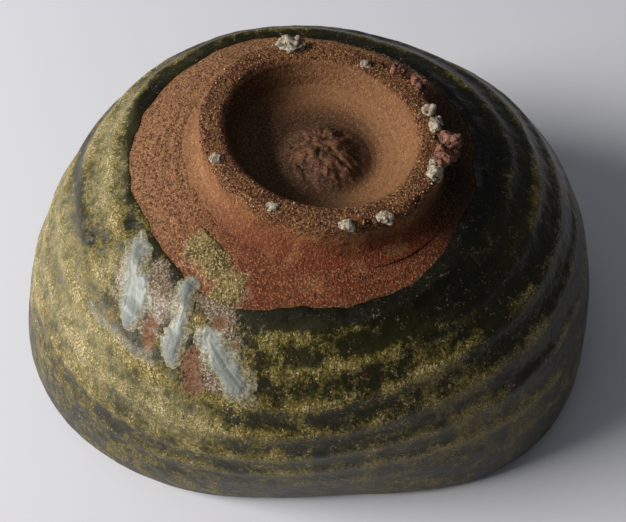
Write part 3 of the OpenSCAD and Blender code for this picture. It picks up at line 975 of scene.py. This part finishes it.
def ash_run_paint():
    p = Paint("ash_run", IOR=1.45, Coat_Weight=0.1, Coat_Roughness=0.2)
    at = p.place()
    heart = p.level("heart")
    streak = p.grain(p.vector("flow"), 1.1, 3, 0.6, 0.5)
    patch = p.grain(at, 0.003, 4, 0.65)
    salt = p.grain(at, 0.00045, 2, 0.65)
    fine = p.grain(at, 0.0006, 3, 0.65)
    colour = p.mix(p.rise(streak, 0.34, 0.64), rgb(106, 112, 105), rgb(142, 145, 136))
    white = p.rise(salt, 0.46, 0.56)
    speckle = p.mix(white, rgb(112, 99, 74), rgb(160, 156, 138))
    stained = p.mix(white, rgb(84, 76, 28), rgb(132, 118, 62))
    speckle = p.mix(p.rise(heart + 0.6 * (patch - 0.5), 0.22, 0.0) * 0.6, speckle, stained)
    rim = p.rise(heart + 1.3 * (patch - 0.5) + 1.2 * (fine - 0.5), 0.8, 0.0)
    colour = p.mix(rim, colour, speckle)
    colour = p.mix(p.rise(fine, 0.42, 0.3) * 0.35, colour, rgb(96, 92, 74))
    height = p.bump(fine + 0.4 * streak, 0.00012)
    return p.finish(Base_Color=colour, Roughness=0.4 + 0.25 * fine, Normal=height)


def ash_sand_paint():
    p = Paint("ash_sand", Specular_IOR_Level=0.3)
    at = p.place()
    sand = p.grain(at, 0.0007, 3, 0.7)
    salt = p.grain(at, 0.00045, 2, 0.6)
    patch = p.grain(at, 0.003, 4, 0.65)
    blotch = p.grain(at, 0.004, 2)
    colour = p.mix(p.rise(blotch, 0.4, 0.6), rgb(92, 76, 30), rgb(138, 116, 66))
    bare = p.rise(p.level("heart") + 1.1 * (patch - 0.5) + 0.9 * (sand - 0.5), 0.6, 0.2)
    colour = p.mix(bare, colour, rgb(136, 90, 60))
    colour = p.mix(p.rise(salt, 0.52, 0.62) * 0.75, colour, rgb(200, 180, 130))
    colour = p.mix(p.rise(sand, 0.48, 0.38) * 0.75, colour, rgb(56, 42, 16))
    return p.finish(Base_Color=colour, Roughness=0.5 + 0.3 * sand, Normal=p.bump(sand, 0.0007))


def grit_paint(name, low, high, pore):
    p = Paint(name, Specular_IOR_Level=0.4)
    at = p.place()
    crust = p.grain(at, 0.0013, 4, 0.65)
    colour = p.mix(p.rise(crust, 0.38, 0.6), low, high)
    colour = p.mix(p.rise(p.grain(at, 0.0006, 2), 0.42, 0.32) * 0.8, colour, pore)
    colour = p.mix(p.level("pit") * 0.8, colour, pore)
    return p.finish(Base_Color=colour, Roughness=0.6 + 0.3 * crust, Normal=p.bump(crust, 0.0006))


def grain_paint():
    p = Paint("loose_sand", Specular_IOR_Level=0.4)
    tone = p.level("tone")
    crust = p.grain(p.place(), 0.0004, 2)
    colour = p.mix(p.rise(tone, 0.35, 0.5), rgb(92, 56, 36), rgb(168, 124, 84))
    colour = p.mix(p.rise(tone, 0.84, 0.9), colour, rgb(186, 170, 144))
    colour = p.mix(p.rise(crust, 0.5, 0.35) * 0.5, colour, rgb(60, 36, 24))
    return p.finish(Base_Color=colour, Roughness=0.55 + 0.3 * crust)


def floor_paint():
    p = Paint("pale_table", Specular_IOR_Level=0.3)
    paper = p.grain(p.place(), 0.25, 2)
    colour = p.mix(paper, rgb(222, 222, 228), rgb(228, 228, 232))
    return p.finish(Base_Color=colour, Roughness=0.6 + 0.1 * paper)


# ---------------------------------------------------------------- table, light and camera

LIT_AT = Vector((0, 0, 0.03))


def table_top():
    bpy.ops.mesh.primitive_plane_add(size=6)
    floor = bpy.context.object
    floor.name = "table_top"
    floor.data.materials.append(floor_paint())


def soft_light(name, azimuth, elevation, distance, size, power, colour):
    """An area light that faces the bowl. Azimuth is counted from +X towards +Y."""
    az, el = math.radians(azimuth), math.radians(elevation)
    way = Vector((math.cos(el) * math.cos(az), math.cos(el) * math.sin(az), math.sin(el)))
    light = bpy.data.lights.new(name, "AREA")
    light.shape = "RECTANGLE"
    light.size, light.size_y = size
    light.energy = power
    light.color = colour
    lamp = bpy.data.objects.new(name, light)
    lamp.location = LIT_AT + way * distance
    lamp.rotation_euler = way.to_track_quat("Z", "Y").to_euler()
    bpy.context.scene.collection.objects.link(lamp)


def studio():
    soft_light("window", azimuth=190, elevation=28, distance=1.1, size=(0.6, 0.36), power=18.5,
               colour=(1.0, 0.985, 0.96))
    soft_light("sky_fill", azimuth=150, elevation=68, distance=1.3, size=(1.0, 1.0), power=1.2,
               colour=(0.9, 0.94, 1.0))
    world = bpy.data.worlds.new("room")
    world.use_nodes = True
    air = world.node_tree.nodes["Background"]
    air.inputs["Color"].default_value = (0.86, 0.9, 1.0, 1)
    air.inputs["Strength"].default_value = 0.1
    bpy.context.scene.world = world
    bpy.context.scene.view_settings.view_transform = "Standard"


def viewpoint():
    """A hand-held camera in front of the bowl, above it and tilted a little."""
    elevation, distance, roll = math.radians(55.7), 0.2396, math.radians(2.6)
    aim = Vector((0.00134, -0.00318, 0.0198))
    back = Vector((0, -math.cos(elevation), math.sin(elevation)))
    right = Vector((1, 0, 0))
    up = back.cross(right)
    side = right * math.cos(roll) + up * math.sin(roll)
    top = up * math.cos(roll) - right * math.sin(roll)
    lens = bpy.data.cameras.new("viewpoint")
    lens.lens = 57.5
    lens.sensor_width = 36
    lens.clip_start = 0.01
    camera = bpy.data.objects.new("viewpoint", lens)
    turn = Matrix((side, top, back)).transposed().to_4x4()
    camera.matrix_world = Matrix.Translation(aim + back * distance) @ turn
    bpy.context.scene.collection.objects.link(camera)
    bpy.context.scene.camera = camera


# ---------------------------------------------------------------- the bowl

viewpoint()
studio()
table_top()
clay_body(body_clay_paint())
foot_ring(foot_clay_paint())
outer_glaze(glaze_paint("outside_glaze"))
inner_glaze(glaze_paint("inside_glaze", 0.7))
milky_ash = ash_run_paint()
for k, run in enumerate(RUNS):
    ash_run(run, milky_ash, seed=61 + 4 * k)
ash_patch(ash_sand_paint())
pale_crust = grit_paint("pale_grit", rgb(118, 100, 82), rgb(182, 172, 152), rgb(58, 42, 30))
dark_crust = grit_paint("dark_grit", rgb(80, 52, 46), rgb(150, 100, 78), rgb(36, 20, 16))
for k, lump in enumerate(PALE_GRIT):
    grit_lump(lump, pale_crust, seed=100 + 3 * k)
for k, lump in enumerate(DARK_GRIT):
    grit_lump(lump, dark_crust, seed=200 + 3 * k)
sand_grains(grain_paint())
